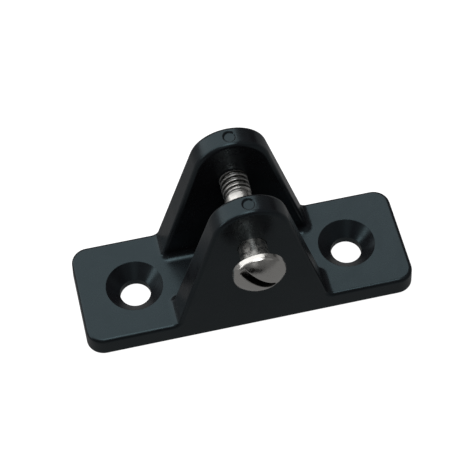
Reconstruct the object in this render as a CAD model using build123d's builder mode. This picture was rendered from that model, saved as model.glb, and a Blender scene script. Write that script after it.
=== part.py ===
"""Deck hinge that carries one leg of a boat's bimini frame.

A moulded nylon body has a flat base with two countersunk screw holes and two upright ears.
A slotted screw runs through the ears as the pivot, and its end is held by a threaded metal
insert that is moulded into the back ear. The screw stands part way out, as when a leg is
being fitted between the ears.

Frame: millimetres, X along the base, Y across it from the head of the screw to its tip,
Z up. The origin is the centre of the base's underside.
"""

import os
from math import radians, tan

from build123d import *

# Base plate
base_length = 76.2
base_width = 26.3
base_thickness = 4.8
base_corner_radius = 4.0
side_draft = 2.0  # degrees that the outside faces lean inwards
outer_edge_radius = 0.9

# Holes for the deck screws, for 1/4 inch flat heads
deck_hole_inset = 13.1  # from each end of the base
deck_hole_radius = 3.55
countersink_radius = 6.6
countersink_angle = 90.0

# Ears
ear_foot_width = 34.8  # at the base's top face, before the root radius
ear_top_radius = 8.8
ear_height = 41.4  # from the underside of the base
jaw_gap = 12.7  # between the ears at the pivot
jaw_draft = 1.0  # degrees that the jaw opens upwards, each side
inner_edge_radius = 1.0
root_radius = 1.8
pin_mark_radius = 1.55  # mouth of the round ejector pin mark on top of each ear
pin_mark_depth = 0.5
pin_mark_slope = 40.0  # degrees that its wall leans outwards
pin_mark_edge_radius = 0.2

# Pivot
pivot_below_top = 12.1  # axis of the bore, from the top of the ears
bore_clearance = 0.1  # radial, screw shank in the ears

# Pivot screw, 1/4-20 x 1 inch with a slotted pan head
thread_radius = 3.17
shank_step = 0.02  # the plain shank is this much smaller in radius than the thread
head_radius = 5.85
head_height = 4.1
head_rim = 1.4  # straight part of the head's edge, before its corner is rounded
head_corner_radius = 1.2
slot_width = 1.75
slot_depth = 2.2
slot_angle = 40.0  # degrees from the base's length, about the pivot
slot_edge_radius = 0.15
head_edge_radius = 0.15  # of the head's edge on the ear's side
tip_beyond_ear = 0.95  # past the back ear when the screw is home
screw_drawn_out = 5.5  # back from home, where the head's lower edge meets the front ear
thread_length = 5.9
thread_pitch = 1.27
thread_depth = 0.55
thread_crest_width = 0.46  # rolled, with broad crests
thread_foot_width = 1.06
thread_root = 0.15  # how deep the ridge starts under the core's surface
thread_overrun = 1.27  # the ridge is drawn this much too long at each end, then trimmed
relief_width = 0.8  # groove between the shank and the thread
relief_depth = 0.6
tip_chamfer = 0.6

# Threaded insert in the back ear
insert_wall = 1.27  # from its bore to the tips of the knurl
insert_setback = 0.2  # below the ear's outer face
insert_lip = 1.8  # plastic between the insert and the jaw
insert_groove_width = 1.2  # between the two knurled bands
insert_groove_depth = 0.45
insert_thread_clearance = 0.06  # radial, over the screw's thread
insert_chamfer = 0.3
knurl_teeth = 32
knurl_radius = 0.2  # of the round valleys between teeth

pivot_height = ear_height - pivot_below_top
pivot_axis = Axis((0, 0, pivot_height), (0, 1, 0))


def outside_y(z):
    """Half width across the outside faces at height z."""
    return base_width / 2 - z * tan(radians(side_draft))


def jaw_y(z):
    """Half width of the jaw between the ears at height z."""
    return jaw_gap / 2 + (z - pivot_height) * tan(radians(jaw_draft))


def pivot_plane(y):
    """Plane square to the pivot at y, facing the screw's tip, with its own y axis up."""
    return Plane(origin=(0, y, pivot_height), x_dir=(-1, 0, 0), z_dir=(0, 1, 0))


def above_base(edge):
    """True for an edge of an ear that isn't at its foot."""
    return edge.center().Z > base_thickness + small


def faces_across(part_faces):
    """The faces that look along Y, apart from their draft, from the middle outwards."""
    across = part_faces.filter_by(lambda f: abs(f.normal_at().Y) > square_enough)
    return across.sort_by(lambda f: abs(f.center().Y))


# Places along the pivot, and what follows from the thread's radius
ear_face_y = outside_y(pivot_height)
head_y = -outside_y(pivot_height - head_radius) - screw_drawn_out
tip_y = ear_face_y + tip_beyond_ear - screw_drawn_out
thread_y = tip_y - thread_length
insert_y = jaw_y(pivot_height) + insert_lip
insert_length = ear_face_y - insert_setback - insert_y
insert_band = (insert_length - insert_groove_width) / 2
shank_radius = thread_radius - shank_step
core_radius = thread_radius - thread_depth
relief_radius = shank_radius - relief_depth
insert_bore = thread_radius + insert_thread_clearance
insert_radius = insert_bore + insert_wall
small = 0.01  # tells edges on the base's top face from the rest
square_enough = 0.9  # share of a face's direction that lies along Y
over_top = 1.0  # cutting tools reach this far past the solid

# Hinge body: the outside, cut to the side view, then the jaw
with BuildPart() as hinge_body:
    with BuildSketch(Plane.XY):
        RectangleRounded(base_length, base_width, base_corner_radius)
    extrude(amount=ear_height, taper=side_draft)
    with BuildSketch(Plane.XZ):
        with Locations((0, ear_height - ear_top_radius)):
            Circle(ear_top_radius)
        with Locations((0, base_thickness / 2)):
            Rectangle(ear_foot_width, base_thickness)
        make_hull()
        with Locations((0, base_thickness / 2)):
            Rectangle(base_length, base_thickness)
    extrude(amount=base_width, both=True, mode=Mode.INTERSECT)
    with BuildSketch(Plane.YZ):
        with BuildLine():
            jaw_top = ear_height + over_top
            Polyline(
                (jaw_y(base_thickness), base_thickness),
                (jaw_y(jaw_top), jaw_top),
                (-jaw_y(jaw_top), jaw_top),
                (-jaw_y(base_thickness), base_thickness),
                close=True,
            )
        make_face()
    extrude(amount=base_length, both=True, mode=Mode.SUBTRACT)

    # Edges round the jaw side of each ear, then the ears' roots, then the outside
    jaw_walls = faces_across(faces())[:2]
    fillet(jaw_walls.edges().filter_by(above_base), inner_edge_radius)
    roots = edges().filter_by(lambda e: abs(e.center().Z - base_thickness) < small)
    roots = roots.filter_by(lambda e: abs(e.center().X) < ear_foot_width / 2 + small)
    fillet(roots, root_radius)
    side_wall = faces_across(faces())[-1]
    rim = side_wall.edges().filter_by(lambda e: e.center().Z > base_thickness - small)
    fillet(rim, outer_edge_radius)

    # Countersunk deck holes
    with Locations((0, 0, base_thickness)):
        with GridLocations(base_length - 2 * deck_hole_inset, 0, 2, 1):
            CounterSinkHole(deck_hole_radius, countersink_radius, base_thickness, countersink_angle)

    # Round ejector pin marks on top of the ears
    with BuildSketch(Plane.XY.offset(ear_height)):
        with GridLocations(0, jaw_y(ear_height) + outside_y(ear_height), 1, 2):
            Circle(pin_mark_radius)
    extrude(amount=-pin_mark_depth, taper=pin_mark_slope, mode=Mode.SUBTRACT)
    mark_edges = edges(Select.LAST).filter_by(GeomType.LINE, reverse=True)
    fillet(mark_edges.group_by(Axis.Z)[-1], pin_mark_edge_radius)

    # Bore through both ears, and the insert's seat, which the nylon grips at its groove
    with BuildSketch(pivot_plane(-base_width / 2)):
        Circle(shank_radius + bore_clearance)
    extrude(amount=base_width, mode=Mode.SUBTRACT)
    with BuildSketch(pivot_plane(insert_y)):
        Circle(insert_radius - insert_groove_depth)
    extrude(amount=base_width, mode=Mode.SUBTRACT)
    with BuildSketch(pivot_plane(insert_y)):
        Circle(insert_radius)
    extrude(amount=insert_band, mode=Mode.SUBTRACT)
    with BuildSketch(pivot_plane(insert_y + insert_length - insert_band)):
        Circle(insert_radius)
    extrude(amount=base_width, mode=Mode.SUBTRACT)

# Thread at the screw's end: a ridge swept round its core, with both ends chamfered
with BuildPart() as screw_thread:
    with BuildSketch(pivot_plane(thread_y - 2 * thread_overrun)):
        Circle(core_radius)
    extrude(amount=thread_length + 4 * thread_overrun)
    helix_y = thread_y - thread_overrun
    with BuildLine():
        helix = Helix(
            thread_pitch,
            thread_length + 2 * thread_overrun,
            core_radius,
            center=(0, helix_y, pivot_height),
            direction=(0, 1, 0),
        )
    outwards = (helix @ 0) - Vector(0, helix_y, pivot_height)
    with BuildSketch(Plane(origin=helix @ 0, x_dir=outwards, z_dir=helix % 0)):
        with BuildLine():
            Polyline(
                (-thread_root, -thread_foot_width / 2),
                (-thread_root, thread_foot_width / 2),
                (thread_depth, thread_crest_width / 2),
                (thread_depth, -thread_crest_width / 2),
                close=True,
            )
        make_face()
    sweep(is_frenet=True)
    with BuildSketch(Plane.YZ):
        with BuildLine():
            Polyline(
                (thread_y, pivot_height),
                (thread_y, pivot_height + core_radius),
                (thread_y + thread_depth, pivot_height + thread_radius + small),
                (tip_y - tip_chamfer - thread_depth, pivot_height + thread_radius + small),
                (tip_y, pivot_height + core_radius - tip_chamfer),
                (tip_y, pivot_height),
                close=True,
            )
        make_face()
    revolve(axis=pivot_axis, mode=Mode.INTERSECT)

# Pivot screw: turned head and shank, the slot, and the thread
with BuildPart() as pivot_screw:
    with BuildSketch(Plane.YZ):
        with BuildLine():
            TangentArc(
                (head_y - head_height, pivot_height),
                (head_y - head_rim, pivot_height + head_radius),
                tangent=(0, 1),
            )
            Polyline(
                (head_y - head_rim, pivot_height + head_radius),
                (head_y, pivot_height + head_radius),
                (head_y, pivot_height + shank_radius),
                (thread_y - relief_width, pivot_height + shank_radius),
                (thread_y - relief_width, pivot_height + relief_radius),
                (thread_y + small, pivot_height + relief_radius),
                (thread_y + small, pivot_height),
                (head_y - head_height, pivot_height),
            )
        make_face()
    revolve(axis=pivot_axis)
    head_edges = edges().filter_by(GeomType.CIRCLE)
    head_edges = head_edges.filter_by(lambda e: abs(e.radius - head_radius) < small).sort_by(Axis.Y)
    fillet(head_edges[0], head_corner_radius)
    fillet(head_edges[-1], head_edge_radius)
    with BuildSketch(pivot_plane(head_y - head_height + slot_depth)):
        Rectangle(2 * (head_radius + over_top), slot_width, rotation=slot_angle)
    extrude(amount=-slot_depth - over_top, mode=Mode.SUBTRACT)
    slot_edges = edges(Select.LAST).filter_by(GeomType.CIRCLE)
    fillet(slot_edges.sort_by(Axis.Y)[:2], slot_edge_radius)
    add(screw_thread.part)

# Threaded insert: two knurled bands with a groove between them
with BuildPart() as threaded_insert:
    with BuildSketch(pivot_plane(insert_y)):
        Circle(insert_radius)
        with PolarLocations(insert_radius, knurl_teeth):
            Circle(knurl_radius, mode=Mode.SUBTRACT)
    extrude(amount=insert_length)
    with BuildSketch(pivot_plane(insert_y + insert_band)):
        Circle(insert_radius + over_top)
        Circle(insert_radius - insert_groove_depth, mode=Mode.SUBTRACT)
    extrude(amount=insert_groove_width, mode=Mode.SUBTRACT)
    with BuildSketch(pivot_plane(insert_y)):
        Circle(insert_bore)
    extrude(amount=insert_length, mode=Mode.SUBTRACT)
    mouths = edges().filter_by(GeomType.CIRCLE)
    mouths = mouths.filter_by(lambda e: abs(e.radius - insert_bore) < small)
    chamfer(mouths, insert_chamfer)

os.makedirs("parts", exist_ok=True)
hinge_body.part.label = "hinge_body"
export_step(hinge_body.part, "parts/hinge_body.step")
pivot_screw.part.label = "pivot_screw"
export_step(pivot_screw.part, "parts/pivot_screw.step")
threaded_insert.part.label = "threaded_insert"
export_step(threaded_insert.part, "parts/threaded_insert.step")
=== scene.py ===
"""Looks of the moulded deck hinge: materials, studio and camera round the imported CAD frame.

Lengths are metres, in the frame of the CAD model: X along the base, Y from the head of the
pivot screw to its tip, Z up. Colours are linear.
"""

from math import cos, pi, radians, sin, tan

import bpy
from mathutils import Matrix, Vector


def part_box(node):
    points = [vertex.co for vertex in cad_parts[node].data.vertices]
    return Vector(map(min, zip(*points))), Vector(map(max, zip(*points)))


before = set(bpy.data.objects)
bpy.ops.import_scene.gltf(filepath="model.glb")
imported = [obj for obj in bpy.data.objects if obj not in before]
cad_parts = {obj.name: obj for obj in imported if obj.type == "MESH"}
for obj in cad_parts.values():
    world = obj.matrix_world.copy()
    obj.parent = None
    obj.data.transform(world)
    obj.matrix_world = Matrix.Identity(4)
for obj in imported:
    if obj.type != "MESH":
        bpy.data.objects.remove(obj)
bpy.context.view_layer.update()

MM = 0.001
BLACK = (0, 0, 0, 1)
WHITE = (1, 1, 1, 1)

# Camera: a long lens that looks down on the hinge from its front left
CAMERA_AZIMUTH = radians(-11.55)
CAMERA_ELEVATION = radians(55.9)
CAMERA_ROLL = radians(1.72)
CAMERA_DISTANCE = 0.3892
CAMERA_SENSOR = 36.0
CAMERA_LENS = 130.07
CAMERA_AIM = Vector((0.0, 0.0, 12.0)) * MM
CAMERA_SLIDE = Vector((-0.64, 1.92)) * MM  # sideways and up, which frames the hinge

# Studio: a pale floor for the camera, and a darker card that glossy faces see in its place
WORLD_GREY = 0.11
FLOOR_SIZE = 4.0
FLOOR_DROP = 0.2 * MM
FLOOR_COLOUR = (0.3, 0.3, 0.3, 1)
FLOOR_GLOW = 0.95
CARD_DROP = 0.6 * MM
CARD_GLOW = 0.18
LAMP_DISTANCE = 0.7

# Round soft lights: name, direction from the hinge, half the angle that it fills, radiance
SOFTBOXES = [
    ("key", Vector((-0.35, 0.60, 0.72)), radians(46), 1.25),
    ("left", Vector((-0.93, -0.02, 0.36)), radians(9), 2.5),
    ("top", Vector((0.0, -0.25, 0.97)), radians(17), 2.8),
    ("front", Vector((-0.20, -0.80, 0.57)), radians(11), 0.20),
    ("right", Vector((0.65, -0.35, 0.62)), radians(15), 0.10),
]

# Black cloths that darken what faces them: name, y, lowest and highest x, height
FLAGS = [
    ("front_flag", -0.5, -0.90, 0.15, 0.17),
    ("back_flag", 0.5, -0.35, 0.90, 0.27),
]

# Places that the materials follow
SCREW_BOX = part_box("pivot_screw")
PIVOT = (SCREW_BOX[0] + SCREW_BOX[1]) / 2  # middle of the screw, on its axis
SHANK_LENGTH = 25.4 * MM  # back from the tip, up to the head
INSERT_BORE_RADIUS = 3.3 * MM

# Nylon. Scales are noise features to a metre, reaches are how far from an edge its rubbing and painted
# highlight go
NYLON_GLOSS = (0.62, 0.90, 1.0, 1)
NYLON_DARK = (0.0060, 0.0058, 0.0070, 1)
NYLON_LIGHT = (0.0085, 0.0082, 0.0098, 1)
# Edge colour: partly real rubbing, partly a painted highlight, a light blue-grey laid along edges and
# fillets that stands in for their glint
NYLON_WORN_AND_HIGHLIGHT = (0.030, 0.040, 0.046, 1)
NYLON_WEAR_AND_HIGHLIGHT = 0.14
NYLON_WEAR_AND_HIGHLIGHT_REACH = 0.35 * MM
NYLON_EDGE_RADIUS = 0.2 * MM
NYLON_ROUGHNESS = (0.22, 0.34)
NYLON_EDGE_ROUGHNESS = 0.08
MOTTLE_SCALE = 90
SMEAR_SCALE = 260
FLOW_SCALE = 150
FLOW_HEIGHT = 0.10 * MM
GRAIN_SCALE = 2600
GRAIN_HEIGHT = 0.008 * MM

# Steel
STEEL_DARK = (0.66, 0.645, 0.615, 1)
STEEL_LIGHT = (0.80, 0.785, 0.755, 1)
# Edge colour: partly real rubbing, partly a painted highlight that stands in for the glint along the
# head's rim and slot
STEEL_WORN_AND_HIGHLIGHT = (0.97, 0.96, 0.94, 1)
STEEL_WEAR_AND_HIGHLIGHT_REACH = 0.3 * MM
STEEL_EDGE_RADIUS = 0.2 * MM
STEEL_ROUGHNESS = (0.11, 0.27)
SCRATCH_ROUGHNESS = (0.0, 0.08)
SHANK_ROUGHNESS = 0.07
# Painted shade: a dark colour laid into the screw's slot and thread grooves, where the occlusion mask
# finds them closing in
CREVICE_SHADE = (0.020, 0.019, 0.018, 1)
CREVICE_SHADE_ROUGHNESS = 0.3
CREVICE_SHADE_REACH = 3.5 * MM
CREVICE_SHADE_OPENNESS = (0.84, 0.50)  # where the painted shade starts, and where it covers all
STEEL_RING_SCALE = 7000
STEEL_RING_HEIGHT = 0.006 * MM
SCRATCH_SCALE = 1500
SCRATCH_HEIGHT = 0.004 * MM
POLISH_SCALE = 900
POLISH_HEIGHT = 0.05 * MM

# Brass
BRASS_CLEAN = (0.34, 0.23, 0.10, 1)
BRASS_TARNISHED = (0.19, 0.125, 0.06, 1)
BRASS_WORN = (0.62, 0.46, 0.22, 1)
BRASS_WEAR = 0.6
BRASS_WEAR_REACH = 0.12 * MM
BRASS_EDGE_RADIUS = 0.1 * MM
BRASS_ROUGHNESS = (0.28, 0.5)
# Painted shade: a near-black colour on the bore's wall and out from it by the depth below
BORE_SHADE = (0.012, 0.010, 0.008, 1)
BORE_SHADE_DEPTH = 0.3 * MM
BRASS_RING_SCALE = 5000
BRASS_RING_HEIGHT = 0.01 * MM
TARNISH_SCALE = 700

RING_STRETCH = 30  # how much longer turning marks are than they are wide

# ---------------------------------------------------------------- node helpers


def new_node(tree, kind, inputs=None, **settings):
    """A shader node with its settings, and its inputs set to values or linked to outputs."""
    made = tree.nodes.new("ShaderNode" + kind)
    for name, value in settings.items():
        setattr(made, name, value)
    for socket, value in (inputs or {}).items():
        feed(tree, made.inputs[socket], value)
    return made


def feed(tree, socket, value):
    """Sets an input to a value, or links an output to it."""
    if isinstance(value, bpy.types.NodeSocket):
        tree.links.new(value, socket)
    else:
        socket.default_value = value


def math_node(tree, operation, *values):
    """The output of a Math node with these values or outputs as its inputs."""
    return new_node(tree, "Math", dict(enumerate(values)), operation=operation).outputs[0]


def remap(tree, value, low, high, to_low=0.0, to_high=1.0):
    """value taken from the range low..high to the range to_low..to_high, and held inside it."""
    inputs = {"Value": value, "From Min": low, "From Max": high, "To Min": to_low, "To Max": to_high}
    return new_node(tree, "MapRange", inputs).outputs["Result"]


def mix_colour(tree, factor, first, second):
    """first where factor is 0, second where it is 1."""
    mix = new_node(tree, "Mix", {0: factor, 6: first, 7: second}, data_type="RGBA")
    return mix.outputs[2]


def noise(tree, where, scale, detail=2.0, roughness=0.5):
    """Smooth random values, about scale of them to a metre."""
    inputs = {"Vector": where, "Scale": scale, "Detail": detail, "Roughness": roughness}
    return new_node(tree, "TexNoise", inputs).outputs["Fac"]


def bump(tree, height, distance, strength, under):
    """The normal under, with this relief on it."""
    inputs = {"Height": height, "Distance": distance, "Strength": strength, "Normal": under}
    return new_node(tree, "Bump", inputs).outputs["Normal"]


def soft_edges(tree, radius):
    """The surface's normal, with its sharp edges rounded to this radius."""
    return new_node(tree, "Bevel", {"Radius": radius}, samples=8).outputs["Normal"]


def edge_mask(tree, radius, sharpest):
    """1 on edges and in corners that turn within radius, 0 on flat faces."""
    rounded = soft_edges(tree, radius)
    plain = new_node(tree, "NewGeometry").outputs["Normal"]
    match = new_node(tree, "VectorMath", {0: rounded, 1: plain}, operation="DOT_PRODUCT")
    return remap(tree, match.outputs["Value"], 1.0, sharpest)


def crevice_mask(tree, reach, openest, closed):
    """1 deep in slots and grooves that are about this far across, 0 on open faces."""
    open_sky = new_node(tree, "AmbientOcclusion", {"Distance": reach}, samples=8, only_local=True)
    return remap(tree, open_sky.outputs["AO"], openest, closed)


def object_place(tree):
    """The point on the surface, in the CAD model's frame."""
    return new_node(tree, "TexCoord").outputs["Object"]


def turned_place(tree, fine):
    """Distance from the pivot axis, distance back from the screw's tip, and a turned place.

    Noise read at the turned place runs in rings round the axis, as a lathe leaves them.
    """
    centred = new_node(tree, "VectorMath", {0: object_place(tree), 1: PIVOT}, operation="SUBTRACT")
    across, along, up = new_node(tree, "SeparateXYZ", {0: centred.outputs[0]}).outputs
    flat = new_node(tree, "CombineXYZ", {0: across, 2: up}).outputs[0]
    radius = new_node(tree, "VectorMath", {0: flat}, operation="LENGTH").outputs["Value"]
    to_tip = math_node(tree, "SUBTRACT", (SCREW_BOX[1] - PIVOT).y, along)
    rings = new_node(tree, "CombineXYZ", {
        0: math_node(tree, "MULTIPLY", radius, fine),
        1: math_node(tree, "MULTIPLY", along, fine),
        2: math_node(tree, "MULTIPLY", across, fine / RING_STRETCH),
    })
    return radius, to_tip, rings.outputs[0]


def new_material(name, **values):
    """A material's node tree and its shader, with the shader's plain values set."""
    material = bpy.data.materials.new(name)
    material.use_nodes = True
    shader = material.node_tree.nodes["Principled BSDF"]
    for socket, value in values.items():
        shader.inputs[socket.replace("_", " ")].default_value = value
    return material, material.node_tree, shader


# ---------------------------------------------------------------- materials


def nylon():
    """Black nylon, moulded: a slight blue cast, fine grain, flow marks, and dulled edges made lighter,
    partly by rubbing and partly as a painted highlight.
    """
    material, tree, shader = new_material("nylon", Specular_Tint=NYLON_GLOSS)
    where = object_place(tree)
    edges = edge_mask(tree, NYLON_WEAR_AND_HIGHLIGHT_REACH, 0.93)

    mottle = remap(tree, noise(tree, where, MOTTLE_SCALE, detail=4), 0.35, 0.65)
    body = mix_colour(tree, mottle, NYLON_DARK, NYLON_LIGHT)
    # Edges and fillets lightened, partly by rubbing and partly as a painted highlight
    wear_and_highlight = math_node(tree, "MULTIPLY", edges, NYLON_WEAR_AND_HIGHLIGHT)
    feed(tree, shader.inputs["Base Color"], mix_colour(tree, wear_and_highlight, body, NYLON_WORN_AND_HIGHLIGHT))

    smears = noise(tree, where, SMEAR_SCALE, detail=5, roughness=0.6)
    rough = remap(tree, smears, 0.3, 0.7, *NYLON_ROUGHNESS)
    dulled = math_node(tree, "MULTIPLY", edges, NYLON_EDGE_ROUGHNESS)
    feed(tree, shader.inputs["Roughness"], math_node(tree, "ADD", rough, dulled))

    relief = soft_edges(tree, NYLON_EDGE_RADIUS)
    relief = bump(tree, noise(tree, where, FLOW_SCALE, detail=1), FLOW_HEIGHT, 0.25, relief)
    relief = bump(tree, noise(tree, where, GRAIN_SCALE, detail=2), GRAIN_HEIGHT, 0.2, relief)
    feed(tree, shader.inputs["Normal"], relief)
    return material


def steel():
    """Stainless steel turned on a lathe: rings, uneven polish, scratches, painted shade in its slot
    and grooves, and edges made near white, partly by rubbing and partly as a painted highlight.
    """
    material, tree, shader = new_material("stainless_steel", Metallic=1.0)
    to_tip, rings = turned_place(tree, STEEL_RING_SCALE)[1:]
    where = object_place(tree)
    turned = noise(tree, rings, 1, detail=3, roughness=0.6)
    scratches = noise(tree, where, SCRATCH_SCALE, detail=4, roughness=0.7)
    polish = noise(tree, where, POLISH_SCALE, detail=3)

    # Painted shade: darker and rougher where the slot and thread grooves close in, found by ambient
    # occlusion
    crevice_shade = crevice_mask(tree, CREVICE_SHADE_REACH, *CREVICE_SHADE_OPENNESS)
    # Edges turned near white, partly by rubbing and partly as a painted highlight
    worn_and_highlight = edge_mask(tree, STEEL_WEAR_AND_HIGHLIGHT_REACH, 0.85)
    colour = mix_colour(tree, turned, STEEL_DARK, STEEL_LIGHT)
    colour = mix_colour(tree, worn_and_highlight, colour, STEEL_WORN_AND_HIGHLIGHT)
    feed(tree, shader.inputs["Base Color"], mix_colour(tree, crevice_shade, colour, CREVICE_SHADE))

    shank = math_node(tree, "LESS_THAN", to_tip, SHANK_LENGTH)
    rough = remap(tree, polish, 0.35, 0.65, *STEEL_ROUGHNESS)
    for more in (
        remap(tree, scratches, 0.3, 0.7, *SCRATCH_ROUGHNESS),
        math_node(tree, "MULTIPLY", shank, SHANK_ROUGHNESS),
        math_node(tree, "MULTIPLY", crevice_shade, CREVICE_SHADE_ROUGHNESS),
    ):
        rough = math_node(tree, "ADD", rough, more)
    feed(tree, shader.inputs["Roughness"], rough)

    relief = soft_edges(tree, STEEL_EDGE_RADIUS)
    relief = bump(tree, polish, POLISH_HEIGHT, 0.35, relief)
    relief = bump(tree, turned, STEEL_RING_HEIGHT, 0.4, relief)
    relief = bump(tree, scratches, SCRATCH_HEIGHT, 0.2, relief)
    feed(tree, shader.inputs["Normal"], relief)
    return material


def brass():
    """Brass that has dulled, with turning rings, bright edges on its knurl and painted shade in its
    bore.
    """
    material, tree, shader = new_material("brass", Metallic=1.0)
    radius, to_tip, rings = turned_place(tree, BRASS_RING_SCALE)
    turned = noise(tree, rings, 1, detail=3, roughness=0.6)
    tarnish = noise(tree, object_place(tree), TARNISH_SCALE, detail=4)

    colour = mix_colour(tree, remap(tree, tarnish, 0.4, 0.65), BRASS_CLEAN, BRASS_TARNISHED)
    edges = edge_mask(tree, BRASS_WEAR_REACH, 0.9)
    colour = mix_colour(tree, math_node(tree, "MULTIPLY", edges, BRASS_WEAR), colour, BRASS_WORN)
    # Painted shade: the bore's wall darkened
    bore = remap(tree, radius, INSERT_BORE_RADIUS + BORE_SHADE_DEPTH, INSERT_BORE_RADIUS)
    feed(tree, shader.inputs["Base Color"], mix_colour(tree, bore, colour, BORE_SHADE))

    feed(tree, shader.inputs["Roughness"], remap(tree, tarnish, 0.3, 0.7, *BRASS_ROUGHNESS))
    relief = bump(tree, turned, BRASS_RING_HEIGHT, 0.5, soft_edges(tree, BRASS_EDGE_RADIUS))
    feed(tree, shader.inputs["Normal"], relief)
    return material


def dress(node, material):
    """Gives a CAD part its finish."""
    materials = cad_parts[node].data.materials
    materials.clear()
    materials.append(material)


# ---------------------------------------------------------------- camera and studio


def make_camera():
    """Camera at the viewing angle, rolled a little about its line of sight."""
    back = Vector((
        sin(CAMERA_AZIMUTH) * cos(CAMERA_ELEVATION),
        -cos(CAMERA_AZIMUTH) * cos(CAMERA_ELEVATION),
        sin(CAMERA_ELEVATION),
    ))
    level = Vector((cos(CAMERA_AZIMUTH), sin(CAMERA_AZIMUTH), 0))
    upright = back.cross(level)
    right = level * cos(CAMERA_ROLL) - upright * sin(CAMERA_ROLL)
    up = level * sin(CAMERA_ROLL) + upright * cos(CAMERA_ROLL)
    data = bpy.data.cameras.new("camera")
    data.sensor_width = CAMERA_SENSOR
    data.lens = CAMERA_LENS
    data.clip_start = 10 * MM
    camera = bpy.data.objects.new("camera", data)
    bpy.context.scene.collection.objects.link(camera)
    place = CAMERA_AIM + back * CAMERA_DISTANCE + right * CAMERA_SLIDE.x + up * CAMERA_SLIDE.y
    camera.matrix_world = Matrix.Translation(place) @ Matrix((right, up, back)).transposed().to_4x4()
    bpy.context.scene.camera = camera


def make_world():
    """Dim surroundings for the reflections, in front of a plain pale backdrop."""
    world = bpy.data.worlds.new("world")
    bpy.context.scene.world = world
    world.use_nodes = True
    tree = world.node_tree
    background = tree.nodes["Background"]
    background.inputs["Color"].default_value = WHITE
    seen = new_node(tree, "LightPath").outputs["Is Camera Ray"]
    feed(tree, background.inputs["Strength"], remap(tree, seen, 0.0, 1.0, WORLD_GREY, FLOOR_GLOW))


def sheet(name, corners, colour, glow, unseen_by):
    """Flat sheet of the studio that gives off an even light and casts no shadow."""
    mesh = bpy.data.meshes.new(name)
    mesh.from_pydata(corners, [], [(0, 1, 2, 3)])
    mesh.materials.append(new_material(
        name, Roughness=1.0, Specular_IOR_Level=0.0, Base_Color=colour,
        Emission_Color=WHITE, Emission_Strength=glow,
    )[0])
    plane = bpy.data.objects.new(name, mesh)
    bpy.context.scene.collection.objects.link(plane)
    for ray in ("shadow", *unseen_by):
        setattr(plane, "visible_" + ray, False)


def floor_corners(height):
    """Corners of a level square round the hinge, as large as the floor."""
    half = FLOOR_SIZE / 2
    return [(-half, -half, height), (half, -half, height), (half, half, height), (-half, half, height)]


def black_flag(name, y, left, right, height):
    """Upright black sheet that only glossy faces see."""
    corners = [(left, y, 0), (right, y, 0), (right, y, height), (left, y, height)]
    sheet(name, corners, BLACK, 0.0, ("camera", "diffuse"))


def softbox(name, towards, half_angle, radiance):
    """Round area light in the direction towards, facing the hinge, of a set brightness."""
    radius = LAMP_DISTANCE * tan(half_angle)
    data = bpy.data.lights.new(name, "AREA")
    data.shape = "DISK"
    data.size = 2 * radius
    data.energy = radiance * pi * pi * radius**2
    lamp = bpy.data.objects.new(name, data)
    bpy.context.scene.collection.objects.link(lamp)
    direction = towards.normalized()
    lamp.location = CAMERA_AIM + direction * LAMP_DISTANCE
    lamp.rotation_euler = direction.to_track_quat("Z", "Y").to_euler()


def make_studio():
    """Backdrop, floor, black cloths and lights."""
    make_world()
    sheet("floor", floor_corners(-FLOOR_DROP), FLOOR_COLOUR, FLOOR_GLOW, ("glossy", "diffuse"))
    sheet("floor_card", floor_corners(-CARD_DROP), BLACK, CARD_GLOW, ("camera",))
    for flag in FLAGS:
        black_flag(*flag)
    for lamp in SOFTBOXES:
        softbox(*lamp)
    bpy.context.scene.view_settings.view_transform = "Standard"


make_camera()
make_studio()
dress("hinge_body", nylon())
dress("pivot_screw", steel())
dress("threaded_insert", brass())
